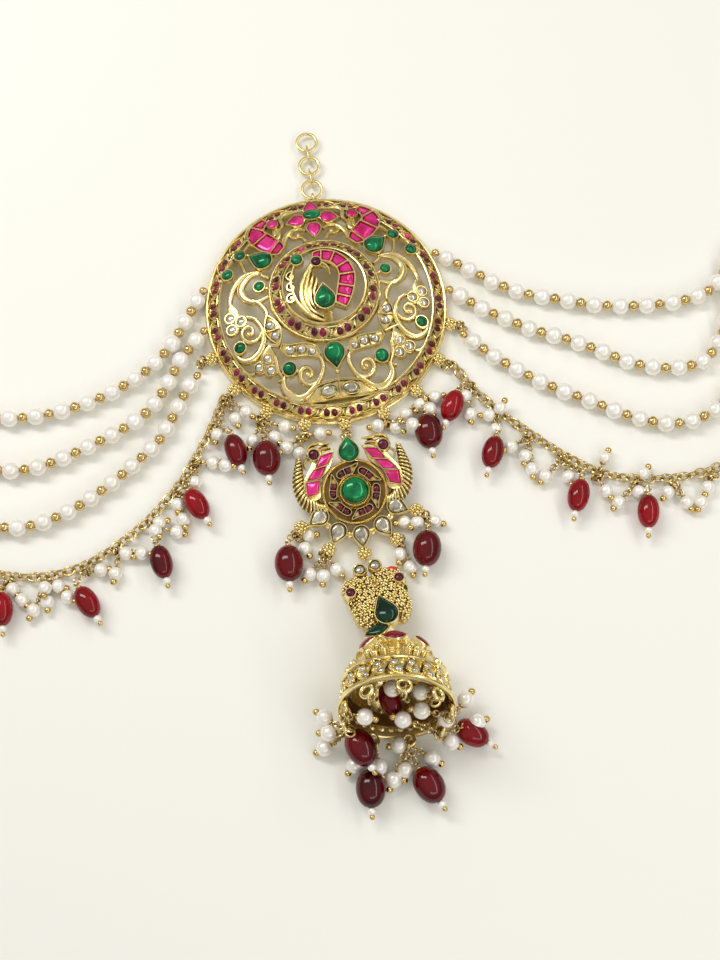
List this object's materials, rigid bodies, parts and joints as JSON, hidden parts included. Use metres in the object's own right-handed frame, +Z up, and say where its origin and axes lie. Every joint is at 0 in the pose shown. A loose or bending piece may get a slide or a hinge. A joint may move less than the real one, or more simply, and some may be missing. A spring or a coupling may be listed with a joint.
{
  "type": "hair brooch",
  "caption": "Domed pierced temple-style hair brooch with peacock boss, pearl strands and chains to each side, and a hanging plaque, bird charm and bell.",
  "frame": {"origin": "middle of the medallion's back, on the underside of the back pin and on the surface that the brooch lies on", "axes": "+Z up through the dome, +Y from the bell towards the extender rings, +X along the strands to the right"},
  "size_m": [0.2336, 0.1782, 0.0268],
  "materials": {
    "antique_gold": "gilt cast metal, polished on the high places and dark in the recesses",
    "pearl": "cream imitation pearl with a soft lustre",
    "ruby_glass": "deep red polished glass",
    "emerald_glass": "green polished foil-backed glass"
  },
  "bodies": {
    "root": {"medallion": "antique_gold", "back_pin": "antique_gold", "extender_ring_1": "antique_gold", "extender_ring_2": "antique_gold", "extender_ring_3": "antique_gold", "extender_link_1": "antique_gold", "extender_link_2": "antique_gold", "side_chain_right": "antique_gold", "side_chain_left": "antique_gold", "end_bar_right": "antique_gold", "end_bar_left": "antique_gold", "plaque": "antique_gold", "plaque_jump_ring": "antique_gold", "bird_charm": "antique_gold", "bell": "antique_gold", "pearl_strand_right_1": "pearl", "pearl_strand_right_2": "pearl", "pearl_strand_right_3": "pearl", "pearl_strand_left_1": "pearl", "pearl_strand_left_2": "pearl", "pearl_strand_left_3": "pearl", "side_drop_right": "emerald_glass", "side_drop_left": "emerald_glass", "foot_drop": "emerald_glass", "boss_drop": "emerald_glass", "plaque_centre_stone": "emerald_glass", "plaque_top_stone": "emerald_glass", "bird_charm_stone": "emerald_glass", "ruby_fringe_left": "ruby_glass", "ruby_fringe_right": "ruby_glass", "ruby_plaque_left": "ruby_glass", "ruby_plaque_right": "ruby_glass", "ruby_left_1": "ruby_glass", "ruby_left_2": "ruby_glass", "ruby_left_3": "ruby_glass", "ruby_left_4": "ruby_glass", "ruby_left_5": "ruby_glass", "ruby_right_1": "ruby_glass", "ruby_right_2": "ruby_glass", "ruby_right_3": "ruby_glass", "ruby_right_4": "ruby_glass", "ruby_bell_1": "ruby_glass", "ruby_bell_2": "ruby_glass", "ruby_bell_3": "ruby_glass", "ruby_bell_4": "ruby_glass"}
  },
  "joints": []
}
